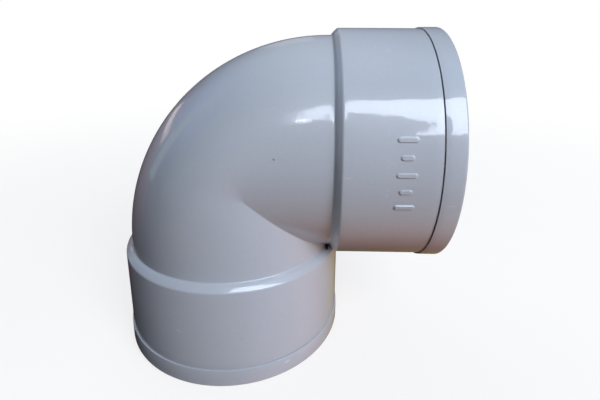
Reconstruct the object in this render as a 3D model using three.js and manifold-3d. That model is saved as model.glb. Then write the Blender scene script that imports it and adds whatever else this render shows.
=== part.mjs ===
// A 90 degree elbow in moulded PVC for 90 mm pipe or duct, with a push-fit socket at each end.
//
// Five separate pieces: one moulded elbow body, and at each mouth a snap-on retaining ring that holds
// a rubber lip seal in the socket. Millimetres, +Z up. The elbow stands on its lower mouth at z = 0,
// the lower socket's axis is vertical, and the upper socket points along +X.
import * as THREE from 'three';
import { mergeVertices } from 'three/addons/utils/BufferGeometryUtils.js';
import Module from 'manifold-3d';

// ---- Driving dimensions ----

// The elbow: distances are measured from the point where the two socket axes meet.
const CENTRE_TO_MOUTH = 97;
const CENTRE_TO_PIPE_STOP = 46;
const BEND_RADIUS = 50.3;
const BEND_BORE_RADIUS = 42;
const INNER_CORNER = 47.4; // the bend sweeps about the point (+this, -this) from the centre
const SWEEP_START = -0.3; // where the corner starts to be round, as a cosine round the tube from its back
const SWEEP_EASE = 0.35; // share of an eased start in how fast it grows from there

// The sockets
const SOCKET_RADIUS = 53.5;
const PIPE_BORE_RADIUS = 45.2; // a 90 mm pipe with 0.2 mm to spare all round
const SHOULDER_LENGTH = 2.6;
const SHOULDER_END = 51; // where the shoulder reaches the socket's full radius

// The snap-on retaining rings
const RING_RADIUS = 54.1;
const RING_WIDTH = 8.3;
const RING_WEB = 2.5; // thickness of the ring's front web
const RING_LIP_RADIUS = 45.8;
const RING_EDGE = { width: 1.6, depth: 0.8 }; // bevel beside the seam
const MOUTH_EDGE = 0.8; // bevel on the outside of the mouth
const LEAD_IN = 1.4; // bevel that guides the pipe in

// The seat that the ring snaps over, and the chamber behind it that holds the seal
const CLEARANCE = 0.3; // gap between neighbouring pieces
const SEAT_RADIUS = 51.6;
const SNAP_BEAD = { fromSeam: 1.4, rise: 0.6, crest: 1.2, fall: 1.8, height: 0.6 };
const SEAL_CHAMBER_RADIUS = 49.8;
const SEAL_CHAMBER_START = 84.2;

// The seal: a band in the chamber and a lip that leans inwards, away from the mouth
const SEAL_BAND_RADIUS = 46.4;
const SEAL_BEVEL = 0.7;
const SEAL_LIP_RADIUS = 43.9; // the free lip is smaller than the pipe, so that it presses on it
const SEAL_LIP_TIP = { back: 1.7, thickness: 0.7, bevel: 0.6 }; // back: from the band's back edge
const SEAL_LIP_ROOT = 4.2; // where the lip's underside leaves the band, from the band's back edge

// The raised mark on the -Y side of the upper socket: a row of plain bars, centred at this distance
const MARK = { middle: 75, pitch: 6.7, width: 2.2, height: 0.6 };
const MARK_LENGTHS = [8, 5.2, 8, 5.2, 8];

// Fineness: sides of every round part, and steps along the bend's sweep and the shoulder's curve
const SIDES = 64;
const SWEEP_STEPS = 16;
const SHOULDER_STEPS = 3;
const BAR_END_STEPS = 4;

// ---- Solids ----

const wasm = await Module();
wasm.setup();
const { Manifold, Mesh } = wasm;

// A geometry with shared vertices merged and collapsed triangles dropped, position only.
function weld(geometry) {
  geometry.deleteAttribute('normal');
  geometry.deleteAttribute('uv');
  const merged = mergeVertices(geometry, 1e-3);
  const kept = [];
  const index = merged.index.array;
  for (let i = 0; i < index.length; i += 3) {
    const [a, b, c] = index.subarray(i, i + 3);
    if (a !== b && b !== c && c !== a) kept.push(a, b, c);
  }
  merged.setIndex(kept);
  return merged;
}

function toSolid(geometry) {
  const welded = weld(geometry);
  return new Manifold(new Mesh({
    numProp: 3,
    vertProperties: welded.attributes.position.array,
    triVerts: new Uint32Array(welded.index.array),
  }));
}

function toGeometry(solid) {
  const mesh = solid.getMesh();
  const geometry = new THREE.BufferGeometry();
  geometry.setAttribute('position', new THREE.BufferAttribute(mesh.vertProperties, 3));
  geometry.setIndex(new THREE.BufferAttribute(mesh.triVerts, 1));
  geometry.computeVertexNormals();
  return geometry;
}

// Turns an outline of [radius, distance from the elbow's centre] pairs about the socket axis, +Y.
function turned(outline) {
  const points = outline.map(([radius, distance]) => new THREE.Vector2(radius, distance));
  return new THREE.LatheGeometry(points, SIDES);
}

// Where the sockets lie: +Y of a turned piece becomes the way that the mouth faces.
const LOWER = new THREE.Euler(-Math.PI / 2, 0, 0);
const UPPER = new THREE.Euler(0, 0, -Math.PI / 2);

function inSocket(geometry, socket) {
  return geometry.applyMatrix4(new THREE.Matrix4().makeRotationFromEuler(socket));
}

// ---- The bend ----

// Radius of the arc by which a line along the tube turns the corner. outward is the line's place round
// the tube: 1 at its back, on the outside of the turn, and -1 on the inside.
function sweepRadius(radius, outward) {
  const share = Math.max(0, (outward - SWEEP_START) / (1 - SWEEP_START));
  const eased = THREE.MathUtils.smoothstep(share, 0, 1);
  return (INNER_CORNER + radius) * THREE.MathUtils.lerp(share, eased, SWEEP_EASE);
}

// The closed surface that a circle leaves as it turns the corner, with straight arms of the given reach.
// At the back the tube is an arc about the inner corner, and on the inside the arms meet in a mitre.
function bendGeometry(radius, reach) {
  const stations = SWEEP_STEPS + 3;
  const points = [];
  for (let side = 0; side < SIDES; side++) {
    const angle = (2 * Math.PI * side) / SIDES;
    const outward = Math.cos(angle);
    const offset = INNER_CORNER + radius * outward;
    const arc = Math.min(sweepRadius(radius, outward), Math.max(offset, 0));
    const sideways = -radius * Math.sin(angle);
    const place = (left, up) => points.push(INNER_CORNER - left, sideways, up - INNER_CORNER);
    place(offset, INNER_CORNER - reach);
    for (let step = 0; step <= SWEEP_STEPS; step++) {
      const turn = (Math.PI / 2) * (step / SWEEP_STEPS);
      place(offset - arc + arc * Math.cos(turn), offset - arc + arc * Math.sin(turn));
    }
    place(INNER_CORNER - reach, offset);
  }
  const lowerEnd = points.length / 3;
  points.push(0, 0, -reach);
  points.push(reach, 0, 0);

  const faces = [];
  for (let side = 0; side < SIDES; side++) {
    const here = side * stations;
    const next = ((side + 1) % SIDES) * stations;
    for (let step = 0; step < stations - 1; step++) {
      faces.push(here + step, next + step, next + step + 1);
      faces.push(here + step, next + step + 1, here + step + 1);
    }
    faces.push(lowerEnd, next, here);
    faces.push(lowerEnd + 1, here + stations - 1, next + stations - 1);
  }
  const geometry = new THREE.BufferGeometry();
  geometry.setAttribute('position', new THREE.Float32BufferAttribute(points, 3));
  geometry.setIndex(faces);
  return geometry;
}

// ---- The elbow body ----

const SEAM = CENTRE_TO_MOUTH - RING_WIDTH - CLEARANCE;
const BODY_END = CENTRE_TO_MOUTH - RING_WEB - CLEARANCE;
const EMBED = 0.4; // how far one joined solid reaches into the next

// The snap bead's outline along the seat, grown by a gap for the groove that takes it.
function snapOutline(seatRadius, gap) {
  const foot = SEAM + SNAP_BEAD.fromSeam;
  const crest = foot + SNAP_BEAD.rise;
  const crestEnd = crest + SNAP_BEAD.crest;
  return [
    [seatRadius, foot - gap],
    [seatRadius + SNAP_BEAD.height, crest - gap],
    [seatRadius + SNAP_BEAD.height, crestEnd + gap],
    [seatRadius, crestEnd + SNAP_BEAD.fall + gap],
  ];
}

// Outside of a socket: the rounded shoulder, the straight wall and the seat for the ring.
function socketOutside() {
  const root = SHOULDER_END - SHOULDER_LENGTH;
  const innerRadius = BEND_RADIUS - EMBED;
  const shoulder = [];
  for (let step = 0; step <= SHOULDER_STEPS; step++) {
    const turn = (Math.PI / 2) * (step / SHOULDER_STEPS);
    shoulder.push([
      innerRadius + (SOCKET_RADIUS - innerRadius) * Math.sin(turn),
      SHOULDER_END - SHOULDER_LENGTH * Math.cos(turn),
    ]);
  }
  return turned([
    [0, root],
    ...shoulder,
    [SOCKET_RADIUS, SEAM],
    [SEAT_RADIUS, SEAM],
    ...snapOutline(SEAT_RADIUS, 0),
    [SEAT_RADIUS, BODY_END],
    [0, BODY_END],
  ]);
}

// Inside of a socket: the pipe bore down to its stop, and the wider seal chamber.
function socketInside() {
  return turned([
    [0, CENTRE_TO_PIPE_STOP],
    [PIPE_BORE_RADIUS, CENTRE_TO_PIPE_STOP],
    [PIPE_BORE_RADIUS, SEAL_CHAMBER_START],
    [SEAL_CHAMBER_RADIUS, SEAL_CHAMBER_START],
    [SEAL_CHAMBER_RADIUS, CENTRE_TO_MOUTH],
    [0, CENTRE_TO_MOUTH],
  ]);
}

// One raised bar: a round-ended slab that reaches from inside the wall to above it, standing on the
// -Y side of the upper socket and turned to its place around it.
function barGeometry(length, around) {
  const half = MARK.width / 2;
  const straight = length / 2 - half;
  const outline = new THREE.Shape();
  outline.absarc(straight, 0, half, -Math.PI / 2, Math.PI / 2, false);
  outline.absarc(-straight, 0, half, Math.PI / 2, (3 * Math.PI) / 2, false);
  const depth = 2 * EMBED + MARK.height;
  const slab = new THREE.ExtrudeGeometry(outline, {
    depth,
    bevelEnabled: false,
    curveSegments: BAR_END_STEPS,
  });
  slab.translate(MARK.middle, 0, SOCKET_RADIUS - 2 * EMBED);
  slab.rotateX(Math.PI / 2 + around);
  return slab;
}

function markSolids() {
  return MARK_LENGTHS.map((length, bar) => {
    const along = (bar - (MARK_LENGTHS.length - 1) / 2) * MARK.pitch;
    return toSolid(barGeometry(length, along / SOCKET_RADIUS));
  });
}

function elbowBodyGeometry() {
  const sockets = [LOWER, UPPER];
  let outside = toSolid(bendGeometry(BEND_RADIUS, SHOULDER_END + EMBED));
  for (const socket of sockets) outside = outside.add(toSolid(inSocket(socketOutside(), socket)));
  for (const bar of markSolids()) outside = outside.add(bar);
  let inside = toSolid(bendGeometry(BEND_BORE_RADIUS, CENTRE_TO_PIPE_STOP + EMBED));
  for (const socket of sockets) inside = inside.add(toSolid(inSocket(socketInside(), socket)));
  return toGeometry(outside.subtract(inside));
}

// ---- The retaining rings and the seals ----

// A cap ring: its skirt snaps over the seat, and its front web keeps the seal in and guides the pipe.
function endRingGeometry() {
  const skirtStart = SEAM + CLEARANCE;
  const skirtRadius = SEAT_RADIUS + CLEARANCE;
  const webStart = CENTRE_TO_MOUTH - RING_WEB;
  const groove = snapOutline(skirtRadius, CLEARANCE).reverse();
  return weld(turned([
    [skirtRadius, skirtStart],
    [RING_RADIUS - RING_EDGE.depth, skirtStart],
    [RING_RADIUS, skirtStart + RING_EDGE.width],
    [RING_RADIUS, CENTRE_TO_MOUTH - MOUTH_EDGE],
    [RING_RADIUS - MOUTH_EDGE, CENTRE_TO_MOUTH],
    [RING_LIP_RADIUS + LEAD_IN, CENTRE_TO_MOUTH],
    [RING_LIP_RADIUS, CENTRE_TO_MOUTH - LEAD_IN],
    [RING_LIP_RADIUS, webStart],
    [skirtRadius, webStart],
    ...groove,
    [skirtRadius, skirtStart],
  ]));
}

// A lip seal: a band that fills the chamber, and a thin lip that leans inwards and away from the mouth.
function sealRingGeometry() {
  const outer = SEAL_CHAMBER_RADIUS - CLEARANCE;
  const back = SEAL_CHAMBER_START + CLEARANCE;
  const front = BODY_END;
  const lipTip = back + SEAL_LIP_TIP.back;
  return weld(turned([
    [SEAL_BAND_RADIUS + SEAL_BEVEL, back],
    [outer - SEAL_BEVEL, back],
    [outer, back + SEAL_BEVEL],
    [outer, front - SEAL_BEVEL],
    [outer - SEAL_BEVEL, front],
    [SEAL_BAND_RADIUS + SEAL_BEVEL, front],
    [SEAL_BAND_RADIUS - SEAL_BEVEL, front - 2 * SEAL_BEVEL],
    [SEAL_LIP_RADIUS, lipTip + SEAL_LIP_TIP.thickness],
    [SEAL_LIP_RADIUS + SEAL_LIP_TIP.bevel, lipTip],
    [SEAL_BAND_RADIUS, back + SEAL_LIP_ROOT],
    [SEAL_BAND_RADIUS, back + SEAL_BEVEL],
    [SEAL_BAND_RADIUS + SEAL_BEVEL, back],
  ]));
}

// ---- The assembly ----

const greyPvc = new THREE.MeshStandardMaterial({ color: 0xa9abb2, roughness: 0.25, metalness: 0 });
const ringPvc = new THREE.MeshStandardMaterial({ color: 0xaaacb2, roughness: 0.28, metalness: 0 });
const sealRubber = new THREE.MeshStandardMaterial({ color: 0x1c1c1e, roughness: 0.75, metalness: 0 });

function named(name, geometry, material) {
  const mesh = new THREE.Mesh(geometry, material);
  mesh.name = name;
  return mesh;
}

// The two removable pieces of one mouth, turned to face the way that it does.
function mouthPieces(prefix, socket) {
  const group = new THREE.Group();
  group.rotation.copy(socket);
  group.add(named(`${prefix}_end_ring`, endRingGeometry(), ringPvc));
  group.add(named(`${prefix}_seal_ring`, sealRingGeometry(), sealRubber));
  return group;
}

const elbow = new THREE.Group();
elbow.add(named('elbow_body', elbowBodyGeometry(), greyPvc));
elbow.add(mouthPieces('lower', LOWER));
elbow.add(mouthPieces('upper', UPPER));

// The origin is under the middle of the elbow's outline, on the plane that its lower mouth stands on.
elbow.position.set((RING_RADIUS - CENTRE_TO_MOUTH) / 2, 0, CENTRE_TO_MOUTH);

export default elbow;
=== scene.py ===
"""Looks for the push-fit PVC elbow: its moulded body, the two retaining rings and the two lip seals as
fine meshes, their materials, a plain floor, soft studio light and the camera.

Shapes are worked out in millimetres from the point where the two socket axes meet. There the lower
socket runs down -Z and the upper one out along +X, and one is the other's mirror image in the mitre,
the plane x = -z. A place on a socket is (radius, distance), the distance being measured along its
axis from that point towards the mouth.
"""
import math

import bpy
import numpy as np
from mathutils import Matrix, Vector


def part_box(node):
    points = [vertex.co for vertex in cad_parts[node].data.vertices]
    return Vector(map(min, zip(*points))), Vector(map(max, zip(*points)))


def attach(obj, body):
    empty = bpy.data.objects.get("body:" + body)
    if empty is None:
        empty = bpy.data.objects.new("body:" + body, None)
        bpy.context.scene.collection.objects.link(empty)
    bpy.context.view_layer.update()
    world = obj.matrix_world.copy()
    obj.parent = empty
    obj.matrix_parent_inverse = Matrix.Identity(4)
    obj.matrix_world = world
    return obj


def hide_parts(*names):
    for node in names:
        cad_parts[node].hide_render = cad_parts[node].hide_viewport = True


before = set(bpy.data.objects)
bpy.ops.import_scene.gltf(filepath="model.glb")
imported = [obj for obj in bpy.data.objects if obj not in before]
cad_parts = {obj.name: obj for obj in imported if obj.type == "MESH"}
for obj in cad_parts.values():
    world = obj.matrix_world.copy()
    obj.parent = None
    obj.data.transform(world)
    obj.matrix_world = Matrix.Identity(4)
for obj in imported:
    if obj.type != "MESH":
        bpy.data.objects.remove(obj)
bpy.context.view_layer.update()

MM = 0.001
BODY = "root"


def box_mm(node):
    low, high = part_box(node)
    return low / MM, high / MM


# ---- Sizes that the frame gives ----

body_low, body_high = box_mm("elbow_body")
ring_low, ring_high = box_mm("lower_end_ring")
upper_ring_low, upper_ring_high = box_mm("upper_end_ring")
seal_low, seal_high = box_mm("lower_seal_ring")

CENTRE = Vector(((ring_low.x + ring_high.x) / 2, 0, (upper_ring_low.z + upper_ring_high.z) / 2))
MOUTH = CENTRE.z - ring_low.z
RING_START = CENTRE.z - ring_high.z
RING_RADIUS = ring_high.y
SOCKET_RADIUS = body_high.y
BODY_END = CENTRE.z - body_low.z
SEAL_START = CENTRE.z - seal_high.z
SEAL_END = CENTRE.z - seal_low.z
SEAL_RADIUS = seal_high.y

# ---- Sizes inside the frame's boxes, in millimetres ----

BEND_RADIUS = 50.3
BEND_BORE = 42.0
PIPE_BORE = 45.2
PIPE_STOP = 46.0
INNER_CORNER = 47.4  # the back of the bend sweeps about the point (+this, -this)
SWEEP_START = -0.25  # where the corner starts to be round, as a cosine round the tube from its back
SWEEP_EASE = 0.35  # share of an eased start in how fast that grows
CREASE_FILLET = 0.5  # rounding of the mitre on the inside of the turn

SHOULDER_ROOT = 48.3  # where the bend's tube ends
SHOULDER_BREAK = (51.7, 49.3)  # where the slope from there turns steeper
SHOULDER_TOP = 51.2  # where it would reach the socket's wall
SHOULDER_ROUND = 1.5
BREAK_ROUND = 5.0
ROOT_FILLET = 0.8

GAP = 0.3  # between neighbouring pieces
SEAT_RADIUS = 51.6  # the socket's end, inside the ring's skirt
CHAMBER_RADIUS = SEAL_RADIUS + GAP
CHAMBER_START = SEAL_START - GAP
SEAM_GAP = {"lower": 0.12, "upper": 0.29}  # between a socket's wall and its ring
SEAM_ROOM = {"lower": 0.6, "upper": 0.9}  # kept for the rounded edge there

BEAD_FOOT = 1.4  # from the seat's start, or the ring's edge, to the snap bead
BEAD_HEIGHT = 0.6
BEAD_CREST = 1.8  # from its foot to where it slopes down
BEAD_LENGTH = 3.6

RING_LEDGE = 0.53  # how far the ring stands out at the seam
RING_BEVEL = 2.2  # width of the soft bevel from there to its full radius
RING_LIP = 45.8
RING_CHAMFER = 1.4
RING_WEB = 2.5
SEAL_BAND = 46.4
SEAL_LIP = 43.9

MARK = {"middle": 75.0, "lift": 0.9, "pitch": 6.7, "width": 2.2, "height": 0.5, "slope": 0.4}
MARK_LENGTHS = (8.0, 5.2, 8.0, 5.2, 8.0)

# ---- How finely the meshes are divided ----

COLUMN_STEP = 3.0  # degrees round the body's tube
MARK_COLUMN_STEP = 0.26
MARK_COLUMN_EASE = 24
CREASE_COLUMNS = (150, 210, 1.2, 20)  # the inside of the turn, as a zone for graded
WALL_STEP = 4.0
MARK_WALL_STEP = 0.25
MARK_WALL_EASE = 8
MARK_MARGIN = 0.3
RING_SIDES = 256
SHARP_ANGLE = math.radians(35)
JOIN_DECIMALS = 5


# ---- Outlines ----

def unit(vector):
    return vector / np.linalg.norm(vector)


def rounded(corners, steps=6):
    """The outline through (radius, distance) corners. A third value rounds its corner off, and the
    first and last corners only say which way the outline starts and ends."""
    points = []
    for before, corner, after in zip(corners, corners[1:], corners[2:]):
        here = np.array(corner[:2], float)
        if len(corner) == 2:
            points.append(here)
            continue
        back = unit(np.array(before[:2]) - here)
        ahead = unit(np.array(after[:2]) - here)
        half = math.acos(float(np.clip(back @ ahead, -1, 1))) / 2
        middle = here + unit(back + ahead) * corner[2] / math.sin(half)
        first = here + back * corner[2] / math.tan(half) - middle
        last = here + ahead * corner[2] / math.tan(half) - middle
        swing = math.pi - 2 * half
        for step in range(steps + 1):
            share = step / steps
            arm = math.sin((1 - share) * swing) * first + math.sin(share * swing) * last
            points.append(middle + arm / math.sin(swing))
    return points


def graded(start, stop, coarse, *zones):
    """Places from start to stop at a coarse spacing, which falls to a zone's own spacing over the
    zone's ease on each side of it. A zone is (from, to, spacing, ease)."""
    places = [start]
    while places[-1] < stop:
        here = places[-1]
        step = coarse
        for low, high, fine, ease in zones:
            share = min(max(low - here, here - high, 0) / ease, 1)
            step = min(step, fine + (coarse - fine) * share * share)
        places.append(here + step)
    stretch = (stop - start) / (places[-1] - start)
    return [start + (place - start) * stretch for place in places]


def split(first, last, pieces):
    """Evenly spaced points after first, up to and including last."""
    return [first + (last - first) * step / pieces for step in range(1, pieces + 1)]


# ---- The elbow body ----

def sweep_radius(tube, outward):
    """Radius of the arc by which a line along the tube turns the corner. outward is the line's place
    round the tube: 1 at its back and -1 on the inside of the turn."""
    share = max(0.0, (outward - SWEEP_START) / (1 - SWEEP_START))
    eased = share * share * (3 - 2 * share)
    grown = share + (eased - share) * SWEEP_EASE
    return CREASE_FILLET + (INNER_CORNER + tube - CREASE_FILLET) * grown


def bend_points(tube, angle, start, straight_steps, arc_steps):
    """A line along the lower arm's tube from the distance start to the mitre."""
    outward = math.cos(angle)
    sideways = -tube * math.sin(angle)
    offset = INNER_CORNER + tube * outward
    room = start + tube * outward
    arc = min(sweep_radius(tube, outward), max(offset, room if outward < 0 else offset), max(room, 0))
    arc_start = arc - tube * outward
    points = []
    for distance in split(start, arc_start, straight_steps):
        points.append((-tube * outward, sideways, -distance))
    for turn in split(0.0, math.pi / 4, arc_steps):
        left = offset - arc + arc * math.cos(turn)
        up = offset - arc + arc * math.sin(turn)
        points.append((INNER_CORNER - left, sideways, up - INNER_CORNER))
    return points


def cut_at_mitre(points):
    """Points from the mouth inwards, with all that lie past the mitre moved to where it is crossed."""
    kept = []
    for point in points:
        point = np.array(point, float)
        short_of = -(point[0] + point[2])
        if short_of < -1e-9:
            before = kept[-1]
            room = -(before[0] + before[2])
            crossing = before + (point - before) * room / (room - short_of)
            kept += [crossing] * (len(points) - len(kept))
            return kept
        kept.append(point)
    return kept


def mark_height(distance, angle):
    """How far the raised mark stands out of the upper socket's wall."""
    around = (math.pi / 2 - angle) * SOCKET_RADIUS - MARK["lift"]
    height = 0.0
    for bar, length in enumerate(MARK_LENGTHS):
        middle = (bar - (len(MARK_LENGTHS) - 1) / 2) * MARK["pitch"]
        along = max(abs(distance - MARK["middle"]) - (length - MARK["width"]) / 2, 0)
        inside = MARK["width"] / 2 - math.hypot(along, around - middle)
        share = min(max(inside / MARK["slope"], 0), 1)
        height = max(height, MARK["height"] * share * share * (3 - 2 * share))
    return height


def socket_outline(seam_gap, wall):
    """The body's outline at a socket in three runs: the shoulder, the straight wall at the distances
    of wall, and the end and the inside up to the pipe's stop."""
    wall_end = RING_START - seam_gap
    outside = rounded([
        (BEND_RADIUS, SHOULDER_ROOT - 2),
        (BEND_RADIUS, SHOULDER_ROOT, ROOT_FILLET),
        (*SHOULDER_BREAK, BREAK_ROUND),
        (SOCKET_RADIUS, SHOULDER_TOP, SHOULDER_ROUND),
        (SOCKET_RADIUS, MOUTH),
    ])
    bead = RING_START - GAP + BEAD_FOOT
    inside = rounded([
        (SOCKET_RADIUS, wall_end - 2),
        (SOCKET_RADIUS, wall_end, 0.15),
        (SEAT_RADIUS, wall_end),
        (SEAT_RADIUS, bead),
        (SEAT_RADIUS + BEAD_HEIGHT, bead + BEAD_HEIGHT, 0.2),
        (SEAT_RADIUS + BEAD_HEIGHT, bead + BEAD_CREST, 0.2),
        (SEAT_RADIUS, bead + BEAD_LENGTH),
        (SEAT_RADIUS, BODY_END, 0.3),
        (CHAMBER_RADIUS, BODY_END, 0.3),
        (CHAMBER_RADIUS, CHAMBER_START, 0.3),
        (PIPE_BORE, CHAMBER_START, 0.5),
        (PIPE_BORE, (CHAMBER_START + PIPE_STOP) / 2),
        (PIPE_BORE, PIPE_STOP, 0.4),
        (BEND_BORE, PIPE_STOP, 0.6),
        (BEND_BORE, PIPE_STOP - 2),
    ], steps=4)
    straight = [np.array((SOCKET_RADIUS, distance)) for distance in wall[1:-1]]
    return outside, straight, inside


def half_body(angles, socket, wall, marked):
    """Points of the lower arm as rows of columns, one column for each angle round it, each running
    from the outside of the mitre to the mouth and back inside to the mitre."""
    outside, straight, inside = socket_outline(SEAM_GAP[socket], wall)
    columns = []
    for angle in angles:
        def place(spot, rise=0.0):
            radius = spot[0] + rise
            return (-radius * math.cos(angle), -radius * math.sin(angle), -spot[1])

        shoulder = [place(spot) for spot in reversed(outside)]
        rises = [mark_height(spot[1], angle) if marked else 0.0 for spot in straight]
        walls = [place(spot, rise) for spot, rise in zip(straight, rises)]
        outer_bend = bend_points(BEND_RADIUS, angle, outside[0][1], straight_steps=8, arc_steps=22)
        outer = cut_at_mitre(list(reversed(walls)) + shoulder + outer_bend)
        ends = [place(spot) for spot in inside]
        inner = bend_points(BEND_BORE, angle, inside[-1][1], straight_steps=6, arc_steps=12)
        columns.append(list(reversed(outer)) + ends + cut_at_mitre(inner))
    return np.array(columns, float)


def wrapped_quads(columns, rows, first=0, closed=False):
    """Faces between neighbouring columns of a grid whose last column meets its first."""
    faces = []
    for column in range(columns):
        here = first + column * rows
        beside = first + (column + 1) % columns * rows
        for row in range(rows if closed else rows - 1):
            above = (row + 1) % rows
            faces.append((here + row, beside + row, beside + above, here + above))
    return faces


def to_upper(points):
    """Mirrors points of the lower arm in the mitre."""
    return np.stack([-points[..., 2], points[..., 1], -points[..., 0]], axis=-1)


def add_piece(node, points, faces, material):
    """Stands a smooth mesh in for a CAD node. Its points are in millimetres, and points that coincide
    are joined."""
    keys = np.round(points, JOIN_DECIMALS)
    first, index = np.unique(keys, axis=0, return_index=True, return_inverse=True)[1:]
    index = index.reshape(-1)
    placed = (points[first] + np.array(CENTRE)) * MM
    kept = []
    for face in faces:
        corners = []
        for corner in face:
            if index[corner] not in corners:
                corners.append(int(index[corner]))
        if len(corners) > 2:
            kept.append(corners)
    mesh = bpy.data.meshes.new(node)
    mesh.from_pydata(placed.tolist(), [], kept)
    mesh.validate()
    mesh.shade_smooth()
    mesh.set_sharp_from_angle(angle=SHARP_ANGLE)
    mesh.materials.append(material)
    piece = bpy.data.objects.new(f"{node}_fine", mesh)
    bpy.context.scene.collection.objects.link(piece)
    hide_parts(node)
    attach(piece, BODY)


def make_body(material):
    half_span = (len(MARK_LENGTHS) - 1) / 2 * MARK["pitch"] + MARK["width"]
    reach = math.degrees(half_span / SOCKET_RADIUS)
    mark_columns = (90 - reach, 90 + reach, MARK_COLUMN_STEP, MARK_COLUMN_EASE)
    degrees = graded(0, 360, COLUMN_STEP, mark_columns, CREASE_COLUMNS)
    angles = [math.radians(degree) for degree in degrees[:-1]]
    mark_from = MARK["middle"] - max(MARK_LENGTHS) / 2 - MARK_MARGIN
    mark_to = MARK["middle"] + max(MARK_LENGTHS) / 2 + MARK_MARGIN
    mark_rows = (mark_from, mark_to, MARK_WALL_STEP, MARK_WALL_EASE)
    wall_start = SHOULDER_TOP + SHOULDER_ROUND / 2
    plain_wall = graded(wall_start, RING_START - SEAM_ROOM["lower"], WALL_STEP)
    marked_wall = graded(wall_start, RING_START - SEAM_ROOM["upper"], WALL_STEP, mark_rows)
    lower = half_body(angles, "lower", plain_wall, marked=False)
    upper = to_upper(half_body(angles, "upper", marked_wall, marked=True))
    lower_faces = wrapped_quads(len(angles), lower.shape[1])
    upper_faces = wrapped_quads(len(angles), upper.shape[1], first=lower.shape[0] * lower.shape[1])
    faces = [face[::-1] for face in lower_faces] + upper_faces
    points = np.concatenate([lower.reshape(-1, 3), upper.reshape(-1, 3)])
    add_piece("elbow_body", points, faces, material)


# ---- The rings and seals ----

def add_turned(node, corners, socket, material):
    """A ring turned about a socket's axis from a closed outline of rounded corners."""
    outline = rounded([corners[-1]] + corners + [corners[0]])
    angles = [2 * math.pi * side / RING_SIDES for side in range(RING_SIDES)]
    points = np.array([
        [(-radius * math.cos(angle), -radius * math.sin(angle), -distance)
         for radius, distance in outline]
        for angle in angles
    ])
    faces = wrapped_quads(RING_SIDES, len(outline), closed=True)
    if socket == "upper":
        points = to_upper(points)
    else:
        faces = [face[::-1] for face in faces]
    add_piece(node, points.reshape(-1, 3), faces, material)


def make_end_ring(socket, material):
    """A retaining ring: a skirt that snaps over the socket's end, and a web that holds the seal in."""
    skirt = SEAT_RADIUS + GAP
    web = MOUTH - RING_WEB
    groove = RING_START + BEAD_FOOT
    corners = [
        (skirt, RING_START, 0.2),
        (SOCKET_RADIUS + RING_LEDGE, RING_START, 0.12),
        (RING_RADIUS, RING_START + RING_BEVEL, 3.0),
        (RING_RADIUS, MOUTH, 0.8),
        (RING_LIP + RING_CHAMFER, MOUTH, 0.6),
        (RING_LIP, MOUTH - RING_CHAMFER, 0.5),
        (RING_LIP, web, 0.3),
        (skirt, web, 0.3),
        (skirt, groove + BEAD_LENGTH),
        (skirt + BEAD_HEIGHT, groove + BEAD_CREST, 0.2),
        (skirt + BEAD_HEIGHT, groove + GAP, 0.2),
        (skirt, groove - GAP),
    ]
    add_turned(f"{socket}_end_ring", corners, socket, material)


def make_seal_ring(socket, material):
    """A lip seal: a band that fills the chamber's depth, and a free lip that leans in and back."""
    corners = [
        (SEAL_BAND + 0.2, SEAL_START, 0.15),
        (SEAL_RADIUS, SEAL_START, 0.7),
        (SEAL_RADIUS, SEAL_END, 0.7),
        (SEAL_BAND, SEAL_END, 1.0),
        (SEAL_BAND - 0.9, SEAL_END - 2.4, 1.5),
        (SEAL_LIP, SEAL_START + 2.4, 0.3),
        (SEAL_LIP + 0.7, SEAL_START + 1.6, 0.3),
        (SEAL_BAND, SEAL_START + 4.4, 0.6),
    ]
    add_turned(f"{socket}_seal_ring", corners, socket, material)


# ---- Node helpers ----

def new_material(name):
    """An empty node material and its node tree."""
    material = bpy.data.materials.new(name)
    material.use_nodes = True
    tree = material.node_tree
    tree.nodes.clear()
    return material, tree


def add(tree, kind, **settings):
    """A node with its properties or inputs set by name, where _ stands for a space, or its inputs by
    place, with names such as in_1."""
    node = tree.nodes.new(kind)
    for key, value in settings.items():
        if key.startswith("in_"):
            node.inputs[int(key[3:])].default_value = value
        elif hasattr(node, key):
            setattr(node, key, value)
        else:
            node.inputs[key.replace("_", " ")].default_value = value
    return node


def join(tree, source, target):
    """Feeds an input from another node's output, or sets it to a plain value."""
    if isinstance(source, bpy.types.NodeSocket):
        tree.links.new(source, target)
    else:
        target.default_value = source


def maths(tree, operation, *values):
    """The result of a maths node on numbers or other nodes' outputs."""
    node = add(tree, "ShaderNodeMath", operation=operation)
    for value, target in zip(values, node.inputs):
        join(tree, value, target)
    return node.outputs[0]


def lumps(tree, place, scale, low, high, detail=2.0, squeeze=(1, 1, 1)):
    """Smooth noise from low to high with scale lumps to the metre, drawn out where squeeze is small."""
    spot = add(tree, "ShaderNodeVectorMath", operation="MULTIPLY", in_1=squeeze)
    noise = add(tree, "ShaderNodeTexNoise", in_2=scale, in_3=detail)
    span = add(tree, "ShaderNodeMapRange", in_1=0.32, in_2=0.68, in_3=low, in_4=high)
    tree.links.new(place, spot.inputs[0])
    tree.links.new(spot.outputs[0], noise.inputs["Vector"])
    tree.links.new(noise.outputs[0], span.inputs[0])
    return span.outputs[0]


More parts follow.
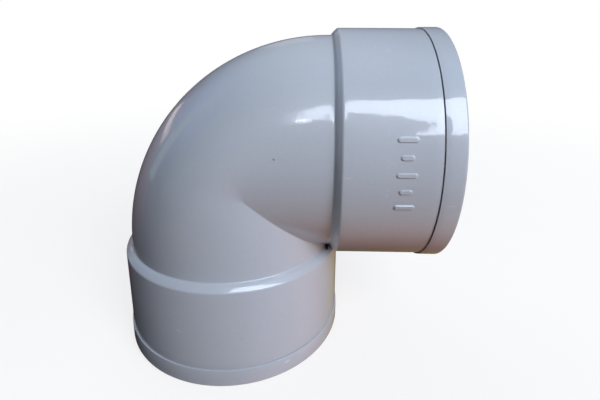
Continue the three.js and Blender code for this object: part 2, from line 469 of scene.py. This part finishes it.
def near(tree, place, spots):
    """Ragged patches: the largest of their strengths here. A spot is (middle, size, strength), in
    millimetres from the point where the socket axes meet."""
    most = 0.0
    for middle, size, strength in spots:
        middle_here = (Vector(middle) + CENTRE) * MM
        offset = add(tree, "ShaderNodeVectorMath", operation="SUBTRACT", in_1=middle_here)
        scaled = add(tree, "ShaderNodeVectorMath", operation="DIVIDE", in_1=Vector(size) * MM)
        length = add(tree, "ShaderNodeVectorMath", operation="LENGTH")
        tree.links.new(place, offset.inputs[0])
        tree.links.new(offset.outputs[0], scaled.inputs[0])
        tree.links.new(scaled.outputs[0], length.inputs[0])
        raggedness = lumps(tree, place, 1100, 0.75, 1.35)
        ragged = maths(tree, "MULTIPLY", length.outputs["Value"], raggedness)
        fade = add(tree, "ShaderNodeMapRange", in_1=0.7, in_2=1.0, in_3=strength, in_4=0.0)
        tree.links.new(ragged, fade.inputs[0])
        most = maths(tree, "MAXIMUM", most, fade.outputs[0])
    return most


def blend(tree, share, first, second):
    """A colour that turns from first into second as share goes from 0 to 1."""
    mix = add(tree, "ShaderNodeMix", data_type="RGBA")
    join(tree, share, mix.inputs[0])
    join(tree, first, mix.inputs[6])
    join(tree, second, mix.inputs[7])
    return mix.outputs[2]


def specks(tree, place, scale, radius, share):
    """Small round specks in that share of the cells of a grid with scale cells to the metre."""
    cells = add(tree, "ShaderNodeTexVoronoi", in_2=scale)
    tree.links.new(place, cells.inputs["Vector"])
    chosen = maths(tree, "LESS_THAN", cells.outputs["Color"], share)
    inside = maths(tree, "LESS_THAN", cells.outputs["Distance"], radius)
    return maths(tree, "MULTIPLY", chosen, inside)


def scratches(tree, place, squeeze, width):
    """Hair-thin broken lines drawn out along the axis that squeeze makes small."""
    line = lumps(tree, place, 300, -1.0, 1.0, detail=1.0, squeeze=squeeze)
    here = maths(tree, "LESS_THAN", maths(tree, "ABSOLUTE", line), width)
    where = lumps(tree, place, 45, -1.6, 1.0, detail=3.0)
    return maths(tree, "MULTIPLY", here, maths(tree, "MAXIMUM", where, 0.0))


def finish_material(tree, shader, height, depth):
    """Adds the output and a bump, to the coat too. depth is the relief in metres where height is 1."""
    bump = add(tree, "ShaderNodeBump", Distance=depth, Strength=1.0)
    output = add(tree, "ShaderNodeOutputMaterial")
    tree.links.new(height, bump.inputs["Height"])
    tree.links.new(bump.outputs[0], shader.inputs["Normal"])
    tree.links.new(bump.outputs[0], shader.inputs["Coat Normal"])
    tree.links.new(shader.outputs[0], output.inputs[0])


# ---- Materials ----

PVC_GREY = (0.43, 0.43, 0.435)
BODY_GLOSS = 0.07  # roughness of the glossy skin
RING_GLOSS = 0.075
UNDER_SKIN = 0.35  # and of the plastic under it
WORN_SKIN = 0.35  # added where it is scuffed
PVC_RELIEF = 0.00003
PALE_WEAR = (0.62, 0.62, 0.62, 1)
# dark of the specks and the dirt dot, and of the painted shade in the pocket
DARK_DIRT_AND_SHADE = (0.03, 0.028, 0.026, 1)
BLACK_RUBBER = (0.010, 0.010, 0.011, 1)
RUBBER_BLOOM = (0.028, 0.027, 0.026, 1)
RUBBER_RELIEF = 0.00004
SCUFFS = [  # middle, size and strength of each, for near
    ((-15.9, -51.1, -71.1), (1.6, 3.0, 0.7), 0.35),
    ((53.5, -53.5, -0.4), (2.2, 3.0, 0.4), 0.35),
    ((70.0, -29.0, 45.0), (1.5, 2.0, 1.5), 0.1),
    ((93.0, -52.9, -11.3), (2.4, 3.0, 0.4), 0.25),
    ((30.0, -45.0, -91.5), (1.8, 3.0, 0.8), 0.5),
]
# dark spots: a dirt dot, and painted shade in the pocket between the shoulders
DIRT_AND_PAINTED_SHADE = [
    ((25.3, -50.0, 5.5), (0.5, 1.0, 0.5), 0.5),  # a dot on the bend
    ((48.0, -19.3, -48.4), (1.4, 4.0, 1.4), 1.0),  # painted shade in the pocket where both shoulders and the crease meet
]


def pvc_colour(tree, place, worn):
    """Faintly mottled grey, paler where it is worn, and dark in its specks, in a dirt dot and in the
    painted shade of the pocket.
    """
    clouds = lumps(tree, place, 22, 0.97, 1.03, detail=3.0)
    grain = lumps(tree, place, 900, 0.985, 1.015)
    shade = add(tree, "ShaderNodeVectorMath", operation="SCALE", in_0=PVC_GREY)
    tree.links.new(maths(tree, "MULTIPLY", clouds, grain), shade.inputs["Scale"])
    specked = maths(tree, "MULTIPLY", specks(tree, place, 190, 0.045, 0.12), 0.5)
    dirt_and_shade = maths(tree, "MAXIMUM", near(tree, place, DIRT_AND_PAINTED_SHADE), specked)
    return blend(tree, dirt_and_shade, blend(tree, worn, shade.outputs[0], PALE_WEAR), DARK_DIRT_AND_SHADE)


def pvc_material(name, gloss):
    """Moulded grey PVC under a glossy skin, with handling marks and a little wear."""
    material, tree = new_material(name)
    place = add(tree, "ShaderNodeTexCoord").outputs["Object"]
    hairs = scratches(tree, place, (1, 0.06, 1), 0.02)
    worn = maths(tree, "MAXIMUM", near(tree, place, SCUFFS), maths(tree, "MULTIPLY", hairs, 0.25))
    smears = lumps(tree, place, 38, -0.03, 0.03, detail=5.0)
    skin_roughness = maths(tree, "ADD", smears, gloss)
    worn_roughness = maths(tree, "MULTIPLY", worn, WORN_SKIN)
    shader = add(tree, "ShaderNodeBsdfPrincipled", IOR=1.5, Specular_IOR_Level=0.25,
                 Coat_Weight=0.85, Coat_IOR=1.5)
    join(tree, pvc_colour(tree, place, worn), shader.inputs["Base Color"])
    join(tree, maths(tree, "ADD", smears, UNDER_SKIN), shader.inputs["Roughness"])
    join(tree, maths(tree, "ADD", skin_roughness, worn_roughness), shader.inputs["Coat Roughness"])
    ripples = lumps(tree, place, 330, 0.0, 0.35, detail=3.0)
    waves = lumps(tree, place, 70, 0.0, 1.0, detail=1.0)
    dents = maths(tree, "MULTIPLY", worn, 0.6)
    height = maths(tree, "SUBTRACT", maths(tree, "ADD", ripples, waves), dents)
    finish_material(tree, shader, height, PVC_RELIEF)
    return material


def rubber_material(name):
    """Matt black rubber with a dusty bloom and a fine moulded grain."""
    material, tree = new_material(name)
    place = add(tree, "ShaderNodeTexCoord").outputs["Object"]
    bloom = lumps(tree, place, 60, 0.0, 0.5, detail=5.0)
    shader = add(tree, "ShaderNodeBsdfPrincipled", IOR=1.5)
    join(tree, blend(tree, bloom, BLACK_RUBBER, RUBBER_BLOOM), shader.inputs["Base Color"])
    join(tree, lumps(tree, place, 120, 0.5, 0.75, detail=4.0), shader.inputs["Roughness"])
    finish_material(tree, shader, lumps(tree, place, 1500, 0.0, 1.0, detail=3.0), RUBBER_RELIEF)
    return material


pvc = pvc_material("grey_pvc", BODY_GLOSS)
ring_pvc = pvc_material("ring_pvc", RING_GLOSS)
rubber = rubber_material("seal_rubber")

make_body(pvc)
for socket in ("lower", "upper"):
    make_end_ring(socket, ring_pvc)
    make_seal_ring(socket, rubber)


# ---- Floor ----

BACKDROP = (1.0, 1.0, 1.0, 1)
FLOOR_COLOUR = (0.95, 0.86, 0.78, 1)
FLOOR_REACH = 3.0
FLOOR_GLOW = 0.72  # the backdrop's share in the floor's look beside the object
FADE = (0.15, 0.7)  # distances between which the floor turns into the backdrop


def add_sheet(name, corners, material):
    """A flat sheet of the studio."""
    mesh = bpy.data.meshes.new(name)
    mesh.from_pydata([tuple(corner) for corner in corners], [], [list(range(len(corners)))])
    mesh.materials.append(material)
    sheet = bpy.data.objects.new(name, mesh)
    bpy.context.scene.collection.objects.link(sheet)
    return sheet


def make_floor():
    """A plain pale floor that fades into the backdrop and leaves the reflections to the studio."""
    material, tree = new_material("floor")
    link = tree.links.new
    output = add(tree, "ShaderNodeOutputMaterial")
    mix = add(tree, "ShaderNodeMixShader")
    shader = add(tree, "ShaderNodeBsdfDiffuse", Color=FLOOR_COLOUR)
    far = add(tree, "ShaderNodeEmission", Color=BACKDROP)
    place = add(tree, "ShaderNodeTexCoord")
    distance = add(tree, "ShaderNodeVectorMath", operation="LENGTH")
    fade = add(tree, "ShaderNodeMapRange", interpolation_type="SMOOTHSTEP",
               From_Min=FADE[0], From_Max=FADE[1], To_Min=FLOOR_GLOW)
    link(place.outputs["Object"], distance.inputs[0])
    link(distance.outputs["Value"], fade.inputs["Value"])
    link(fade.outputs["Result"], mix.inputs[0])
    link(shader.outputs[0], mix.inputs[1])
    link(far.outputs[0], mix.inputs[2])
    link(mix.outputs[0], output.inputs["Surface"])
    reach = FLOOR_REACH
    corners = [(-reach, -reach, 0), (reach, -reach, 0), (reach, reach, 0), (-reach, reach, 0)]
    floor = add_sheet("floor", corners, material)
    floor.visible_diffuse = False
    floor.visible_glossy = False
    floor.visible_shadow = False


# ---- Light ----

def toward(azimuth, elevation):
    """A unit vector. Azimuth 0 is the camera's side, -Y, and 90 the upper socket's, +X."""
    azimuth = math.radians(azimuth)
    elevation = math.radians(elevation)
    level = math.cos(elevation)
    return Vector((math.sin(azimuth) * level, -math.cos(azimuth) * level, math.sin(elevation)))


PANEL_SPREAD = 12.0  # how fast a panel's glow falls off from its middle
PANELS = [  # azimuth, elevation and colour
    (0, 90, (0.3, 0.3, 0.3)),  # the ceiling
    (75, 60, (0.2, 0.5, 0.9)),  # daylight, high on the right
    (70, 30, (0.1, 0.3, 0.6)),
    (55, 0, (0.9, 0.85, 1.2)),  # a pale wall on the right
    (-110, 30, (0.1, 0.3, 0.8)),  # daylight on the left
    (-150, 60, (0.6, 0.7, 0.7)),  # and behind
    (180, 30, (0.3, 0.3, 0.4)),
    (-125, 0, (0.2, 0.1, 0.1)),
    (90, -30, (0.8, 0.5, 0.4)),  # light off a brown table
    (145, -30, (0.4, 0.3, 0.1)),
    (40, -60, (0.6, 0.4, 0.3)),
    (90, -80, (0.4, 0.1, 0.0)),
]


def make_studio():
    """Soft panels all round, as a world that is pale to the camera itself."""
    world = bpy.data.worlds.new("studio")
    bpy.context.scene.world = world
    world.use_nodes = True
    tree = world.node_tree
    tree.nodes.clear()
    link = tree.links.new
    place = add(tree, "ShaderNodeTexCoord")
    total = None
    for azimuth, elevation, colour in PANELS:
        middle = toward(azimuth, elevation)
        facing = add(tree, "ShaderNodeVectorMath", operation="DOT_PRODUCT", in_1=middle)
        tinted = add(tree, "ShaderNodeVectorMath", operation="SCALE", in_0=colour)
        link(place.outputs["Generated"], facing.inputs[0])
        falloff = maths(tree, "MULTIPLY_ADD", facing.outputs["Value"], PANEL_SPREAD, -PANEL_SPREAD)
        link(maths(tree, "EXPONENT", falloff), tinted.inputs["Scale"])
        if total is None:
            total = tinted.outputs[0]
        else:
            summed = add(tree, "ShaderNodeVectorMath", operation="ADD")
            link(total, summed.inputs[0])
            link(tinted.outputs[0], summed.inputs[1])
            total = summed.outputs[0]
    surround = add(tree, "ShaderNodeBackground")
    backdrop = add(tree, "ShaderNodeBackground", Color=BACKDROP)
    ray = add(tree, "ShaderNodeLightPath")
    mix = add(tree, "ShaderNodeMixShader")
    output = add(tree, "ShaderNodeOutputWorld")
    link(total, surround.inputs["Color"])
    link(ray.outputs["Is Camera Ray"], mix.inputs[0])
    link(surround.outputs[0], mix.inputs[1])
    link(backdrop.outputs[0], mix.inputs[2])
    link(mix.outputs[0], output.inputs["Surface"])


LAMP_DISTANCE = 1.2
LAMP_LEVEL = 0.09  # height from which the outlines are measured

# Each outline is (right, up), as shares of the lamp's distance.
WINDOW = [
    (-0.21, 1.10), (-0.12, 1.24), (0.9, 1.24), (0.9, 0.35), (0.05, 0.35), (0.09, 0.42), (0.14, 0.56),
    (0.05, 0.70), (-0.04, 0.80), (-0.16, 0.86), (-0.17, 0.68), (-0.25, 0.70), (-0.25, 0.61),
    (-0.28, 0.60), (-0.26, 0.95),
]
SHEER = [(-0.38, 0.65), (-0.40, 0.95), (-0.30, 1.05), (-0.26, 0.95), (-0.28, 0.60)]
GLINT = [(-0.28, 0.65), (-0.27, 0.71), (-0.24, 0.70), (-0.24, 0.66)]
PALE_WALL = [(-0.3, -0.1), (-0.3, 0.25), (0.3, 0.3), (0.3, -0.2)]


def upright(half_width, low, high):
    return [(-half_width, low), (-half_width, high), (half_width, high), (half_width, low)]


def make_lamp(name, azimuth, outline, colour):
    """A glowing upright sheet that the camera itself doesn't see."""
    ahead = toward(azimuth, 0)
    right = toward(azimuth + 90, 0)
    level = Vector((0, 0, LAMP_LEVEL))
    corners = []
    for across, up in outline:
        corners.append(level + (ahead + right * across + Vector((0, 0, up))) * LAMP_DISTANCE)
    material, tree = new_material(name)
    glow = add(tree, "ShaderNodeEmission", Color=(*colour, 1))
    output = add(tree, "ShaderNodeOutputMaterial")
    tree.links.new(glow.outputs[0], output.inputs["Surface"])
    lamp = add_sheet(name, corners, material)
    lamp.visible_camera = False
    return lamp


make_floor()
make_studio()
make_lamp("window", 14, WINDOW, (8.5, 9.5, 11.0))
fill = make_lamp("fill", -150, upright(0.7, 0.0, 0.9), (1.6, 1.7, 1.8))
fill.visible_glossy = False
make_lamp("sheer", 14, SHEER, (1.3, 1.4, 1.6))
make_lamp("glint", 14, GLINT, (35.0, 36.0, 37.0))
make_lamp("pale_wall", -72, PALE_WALL, (0.15, 0.2, 0.25))
make_lamp("doorway", -111, upright(0.08, -0.07, 0.95), (0.45, 0.6, 0.7))
make_lamp("back_gap", -172, upright(0.13, 0.33, 0.72), (0.6, 0.6, 0.65))
make_lamp("skirting", -131, upright(0.18, 0.09, 0.19), (1.3, 1.1, 1.1))


# ---- Camera ----

CAMERA_PLACE = (38.6, -198.4, 54.6)
CAMERA_DOWN = 0.26  # radians below level
CAMERA_ROLL = -0.005
CAMERA_TURN = 0.024  # to the left
FOCAL_LENGTH = 24.83
SENSOR_WIDTH = 36
NEAR_CLIP = 0.005
LENS_SHIFT = -0.108
SHIFT_RANGE = (0.015, 0.04)  # how far the camera may be from its place with the full shift, and with any


def shift_lens(data, camera):
    """Shifts the lens while the camera is at its own place, and leaves it centred for other views."""
    curve = data.driver_add("shift_y")
    curve.driver.type = "SUM"
    variable = curve.driver.variables.new()
    variable.type = "TRANSFORMS"
    variable.targets[0].id = camera
    variable.targets[0].transform_type = "LOC_Y"
    while curve.modifiers:
        curve.modifiers.remove(curve.modifiers[0])
    full, none = SHIFT_RANGE
    for offset, shift in ((-none, 0), (-full, LENS_SHIFT), (full, LENS_SHIFT), (none, 0)):
        key = curve.keyframe_points.insert(camera.location.y + offset, shift)
        key.interpolation = "LINEAR"


def make_camera():
    data = bpy.data.cameras.new("camera")
    data.sensor_width = SENSOR_WIDTH
    data.lens = FOCAL_LENGTH
    data.clip_start = NEAR_CLIP
    camera = bpy.data.objects.new("camera", data)
    bpy.context.scene.collection.objects.link(camera)
    camera.location = (CENTRE + Vector(CAMERA_PLACE)) * MM
    camera.rotation_euler = (math.pi / 2 - CAMERA_DOWN, CAMERA_ROLL, CAMERA_TURN)
    bpy.context.scene.camera = camera
    shift_lens(data, camera)


make_camera()
bpy.context.scene.view_settings.view_transform = "Standard"
